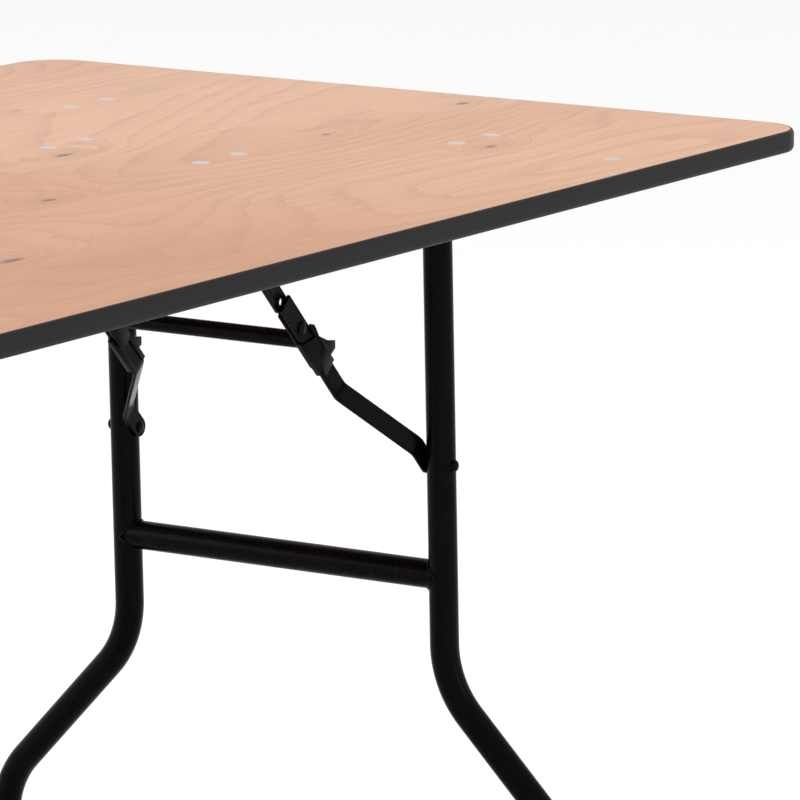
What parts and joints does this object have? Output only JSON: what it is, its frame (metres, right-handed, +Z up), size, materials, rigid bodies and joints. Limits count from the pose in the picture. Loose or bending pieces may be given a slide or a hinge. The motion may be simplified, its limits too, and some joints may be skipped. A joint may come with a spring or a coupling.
{
  "type": "folding table",
  "caption": "Rectangular plywood folding table with a black edge band, bent tube leg frames that fold flat and two-link braces with sliding lock sleeves.",
  "frame": {"origin": "on the floor, under the middle of the top", "axes": "+X along the table towards end a, +Y across it, +Z up"},
  "size_m": [1.8288, 0.762, 0.768],
  "materials": {
    "plywood": "clear-coated rotary-cut birch plywood, satin",
    "edge_band": "moulded black vinyl strip, slightly glossy",
    "powder_coat": "glossy black powder coat on steel",
    "zinc_steel": "dull zinc plate",
    "foot_rubber": "matt black moulded rubber"
  },
  "bodies": {
    "table_top": {"top_panel": "plywood", "edge_band": "edge_band", "hinge_strap_left_a": "powder_coat", "brace_bracket_left_a": "powder_coat", "hinge_bolt_left_1_a": "zinc_steel", "hinge_bolt_left_2_a": "zinc_steel", "bracket_bolt_left_1_a": "zinc_steel", "bracket_bolt_left_2_a": "zinc_steel", "hinge_strap_right_a": "powder_coat", "brace_bracket_right_a": "powder_coat", "hinge_bolt_right_1_a": "zinc_steel", "hinge_bolt_right_2_a": "zinc_steel", "bracket_bolt_right_1_a": "zinc_steel", "bracket_bolt_right_2_a": "zinc_steel", "hinge_strap_left_b": "powder_coat", "brace_bracket_left_b": "powder_coat", "hinge_bolt_left_1_b": "zinc_steel", "hinge_bolt_left_2_b": "zinc_steel", "bracket_bolt_left_1_b": "zinc_steel", "bracket_bolt_left_2_b": "zinc_steel", "hinge_strap_right_b": "powder_coat", "brace_bracket_right_b": "powder_coat", "hinge_bolt_right_1_b": "zinc_steel", "hinge_bolt_right_2_b": "zinc_steel", "bracket_bolt_right_1_b": "zinc_steel", "bracket_bolt_right_2_b": "zinc_steel"},
    "leg_frame_a": {"hinge_tube_a": "powder_coat", "crossbar_a": "powder_coat", "leg_left_a": "powder_coat", "leg_rivet_left_a": "powder_coat", "foot_left_a": "foot_rubber", "leg_right_a": "powder_coat", "leg_rivet_right_a": "powder_coat", "foot_right_a": "foot_rubber"},
    "upper_links_a": {"brace_cross_tube_a": "powder_coat", "upper_link_left_a": "powder_coat", "knee_pin_left_a": "powder_coat", "upper_link_right_a": "powder_coat", "knee_pin_right_a": "powder_coat"},
    "lower_links_a": {"lower_link_left_a": "powder_coat", "lower_link_right_a": "powder_coat"},
    "lock_sleeve_left_a": {"lock_sleeve_left_a": "powder_coat"},
    "lock_sleeve_right_a": {"lock_sleeve_right_a": "powder_coat"},
    "leg_frame_b": {"hinge_tube_b": "powder_coat", "crossbar_b": "powder_coat", "leg_left_b": "powder_coat", "leg_rivet_left_b": "powder_coat", "foot_left_b": "foot_rubber", "leg_right_b": "powder_coat", "leg_rivet_right_b": "powder_coat", "foot_right_b": "foot_rubber"},
    "upper_links_b": {"brace_cross_tube_b": "powder_coat", "upper_link_left_b": "powder_coat", "knee_pin_left_b": "powder_coat", "upper_link_right_b": "powder_coat", "knee_pin_right_b": "powder_coat"},
    "lower_links_b": {"lower_link_left_b": "powder_coat", "lower_link_right_b": "powder_coat"},
    "lock_sleeve_left_b": {"lock_sleeve_left_b": "powder_coat"},
    "lock_sleeve_right_b": {"lock_sleeve_right_b": "powder_coat"}
  },
  "joints": [
    {"name": "leg_fold_a", "type": "hinge", "parent": "table_top", "child": "leg_frame_a", "pos_m": [0.699, 0, 0.737], "axis": [0, 1, 0], "range_deg": [0, 91.9]},
    {"name": "brace_fold_a", "type": "hinge", "parent": "table_top", "child": "upper_links_a", "pos_m": [0.4767, 0, 0.737], "axis": [0, 1, 0], "range_deg": [-46, 0]},
    {"name": "knee_fold_a", "type": "hinge", "parent": "upper_links_a", "child": "lower_links_a", "pos_m": [0.58661, 0, 0.62366], "axis": [0, 1, 0], "range_deg": [0, 181]},
    {"name": "sleeve_slide_left_a", "type": "slide", "parent": "lower_links_a", "child": "lock_sleeve_left_a", "axis": [-0.6962, 0, 0.7179], "range_m": [0, 0.027]},
    {"name": "sleeve_slide_right_a", "type": "slide", "parent": "lower_links_a", "child": "lock_sleeve_right_a", "axis": [-0.6962, 0, 0.7179], "range_m": [-0.027, 0]},
    {"name": "leg_fold_b", "type": "hinge", "parent": "table_top", "child": "leg_frame_b", "pos_m": [-0.699, 0, 0.737], "axis": [0, -1, 0], "range_deg": [0, 89.4]},
    {"name": "brace_fold_b", "type": "hinge", "parent": "table_top", "child": "upper_links_b", "pos_m": [-0.4767, 0, 0.737], "axis": [0, -1, 0], "range_deg": [-46, 0]},
    {"name": "knee_fold_b", "type": "hinge", "parent": "upper_links_b", "child": "lower_links_b", "pos_m": [-0.58661, 0, 0.62366], "axis": [0, -1, 0], "range_deg": [0, 181]},
    {"name": "sleeve_slide_left_b", "type": "slide", "parent": "lower_links_b", "child": "lock_sleeve_left_b", "axis": [0.6962, 0, 0.7179], "range_m": [-0.027, 0]},
    {"name": "sleeve_slide_right_b", "type": "slide", "parent": "lower_links_b", "child": "lock_sleeve_right_b", "axis": [0.6962, 0, 0.7179], "range_m": [-0.027, 0]}
  ],
  "couplings": [
    {"joint": "brace_fold_a", "follows": "leg_fold_a", "ratio": -0.49815},
    {"joint": "knee_fold_a", "follows": "leg_fold_a", "ratio": 1.9544},
    {"joint": "brace_fold_b", "follows": "leg_fold_b", "ratio": -0.49815},
    {"joint": "knee_fold_b", "follows": "leg_fold_b", "ratio": 1.9544}
  ]
}
